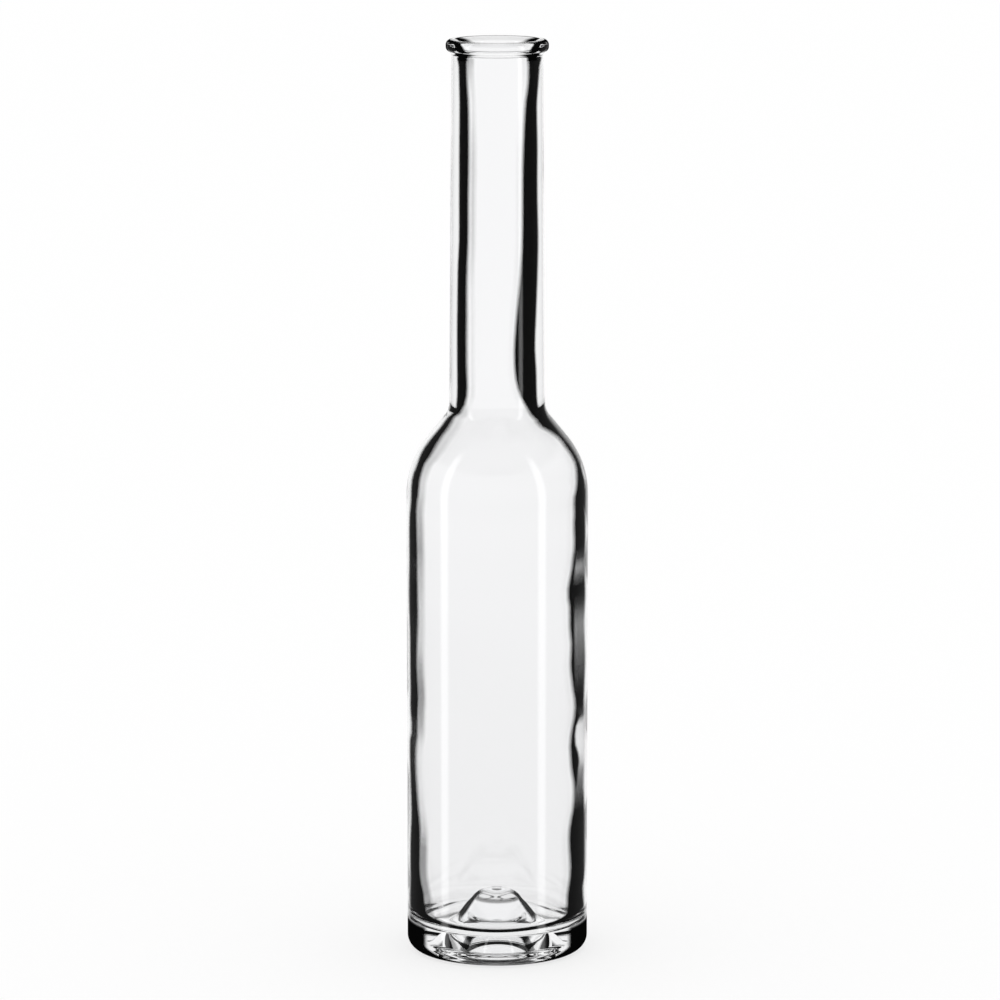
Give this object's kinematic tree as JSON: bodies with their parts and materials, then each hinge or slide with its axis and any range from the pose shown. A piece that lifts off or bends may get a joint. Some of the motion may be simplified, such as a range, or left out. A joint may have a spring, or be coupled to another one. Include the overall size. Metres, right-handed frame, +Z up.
{
  "type": "glass bottle",
  "caption": "Tall slim bottle of clear glass: cylindrical body, round shoulder, long straight neck with a bead lip and plain cork mouth, heavy base with a push-up.",
  "frame": {"origin": "on the bottle's axis at the level that the bearing ring stands on", "axes": "+Z up along the bottle's axis, from the base to the lip"},
  "size_m": [0.0486, 0.0486, 0.246],
  "materials": {
    "clear_glass": "clear fire-polished flint glass with a very faint green-grey tint"
  },
  "bodies": {
    "root": {"glass_bottle": "clear_glass"}
  },
  "joints": []
}
